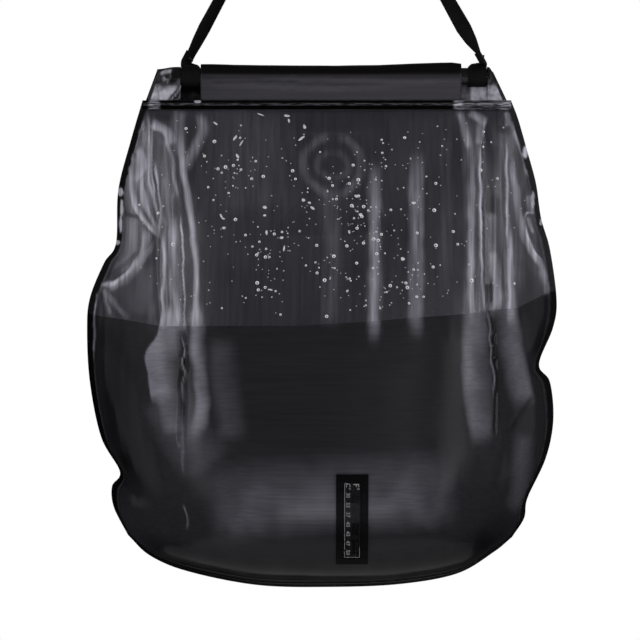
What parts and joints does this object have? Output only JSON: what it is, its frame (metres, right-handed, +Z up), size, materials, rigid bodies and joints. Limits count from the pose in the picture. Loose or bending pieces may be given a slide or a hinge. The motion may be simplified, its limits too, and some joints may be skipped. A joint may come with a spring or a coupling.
{
  "type": "camp shower bag",
  "caption": "Hanging water bag of clear and black film with a rod in its top hem, webbing strap, strip thermometer, screw-capped fill port and capped outlet spigot.",
  "frame": {"origin": "underside of the strap's bend, where a hook or branch carries the bag", "axes": "+Z up, +X to the right along the rod as seen from the front, the bag's front faces -Y"},
  "size_m": [0.5163, 0.2282, 0.8652],
  "materials": {
    "clear_film": "clear, glossy, wrinkled",
    "black_film": "smooth, half gloss",
    "webbing": "woven, matt, cross ribs",
    "thread": "twisted thread",
    "rod_tube": "extruded, satin",
    "hard_plastic": "moulded, satin",
    "soft_plastic": "soft moulding, satin",
    "strip_print": "printed strip"
  },
  "bodies": {
    "strap": {"hanging_strap": "webbing", "bar_tack_left": "thread", "bar_tack_right": "thread"},
    "rod": {"hanger_rod": "rod_tube", "rod_plug_left": "hard_plastic", "rod_plug_right": "hard_plastic"},
    "bag": {"front_panel": "clear_film", "back_panel": "black_film", "rod_sleeve": "black_film", "sleeve_end_left": "black_film", "sleeve_end_right": "black_film", "hem_weld": "black_film", "thermometer_pad": "soft_plastic", "thermometer_strip": "strip_print", "thermometer_cover": "clear_film", "fill_flange": "soft_plastic", "fill_neck": "hard_plastic", "leash_collar": "soft_plastic", "cap_leash": "soft_plastic", "outlet_flange": "soft_plastic", "outlet_spigot": "hard_plastic"},
    "cap_swivel": {"leash_button": "hard_plastic"},
    "fill_cap": {"fill_cap": "hard_plastic", "cap_gasket": "soft_plastic"},
    "outlet_cap": {"outlet_cap": "soft_plastic", "outlet_seal": "soft_plastic"}
  },
  "joints": [
    {"name": "bag_swing", "type": "hinge", "parent": "strap", "child": "bag", "pos_m": [0, 0, -0.302], "axis": [1, 0, 0], "range_deg": [-120, 120]},
    {"name": "rod_roll", "type": "hinge", "parent": "strap", "child": "rod", "pos_m": [0, 0, -0.302], "axis": [1, 0, 0], "continuous": true},
    {"name": "cap_lift", "type": "slide", "parent": "bag", "child": "cap_swivel", "axis": [0, 1, 0], "range_m": [0, 0.0082], "deforming": ["cap_leash"]},
    {"name": "cap_turn", "type": "hinge", "parent": "cap_swivel", "child": "fill_cap", "pos_m": [0.00069, 0.02684, -0.40095], "axis": [0, 1, 0], "range_deg": [0, 720]},
    {"name": "outlet_pull", "type": "slide", "parent": "bag", "child": "outlet_cap", "axis": [0, 1, 0], "range_m": [0, 0.033]}
  ],
  "couplings": [
    {"joint": "cap_lift", "follows": "cap_turn", "m_per_rad": 0.00063662}
  ]
}
